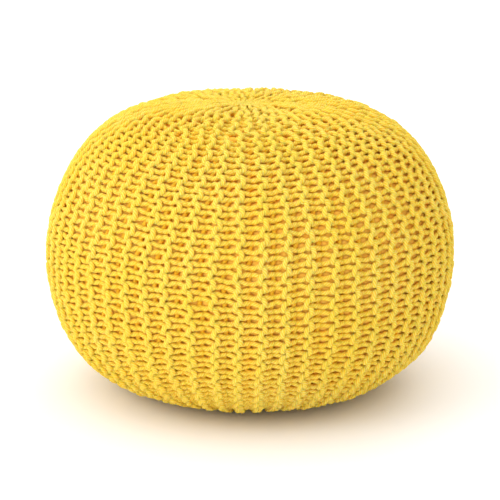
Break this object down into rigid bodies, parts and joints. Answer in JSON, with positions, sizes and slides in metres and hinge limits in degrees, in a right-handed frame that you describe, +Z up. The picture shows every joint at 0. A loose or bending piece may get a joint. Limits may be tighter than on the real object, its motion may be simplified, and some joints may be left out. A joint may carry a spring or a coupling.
{
  "type": "knitted pouf ottoman",
  "caption": "Low round floor pouf: a bead-filled cotton casing inside a thick hand-knitted cover whose ridges run from the drawn-in crown to the flat base.",
  "frame": {"origin": "middle of the flat base, on the floor", "axes": "+Z up through the crown, -Y the front as pictured, +X to the right of the front view"},
  "size_m": [0.4999, 0.5, 0.3497],
  "materials": {
    "cotton_yarn": "matt plied cotton yarn, hand-knitted in garter stitch",
    "casing_cotton": "matt plain-woven cotton"
  },
  "bodies": {
    "root": {"knit_cover": "cotton_yarn", "inner_casing": "casing_cotton"}
  },
  "joints": []
}
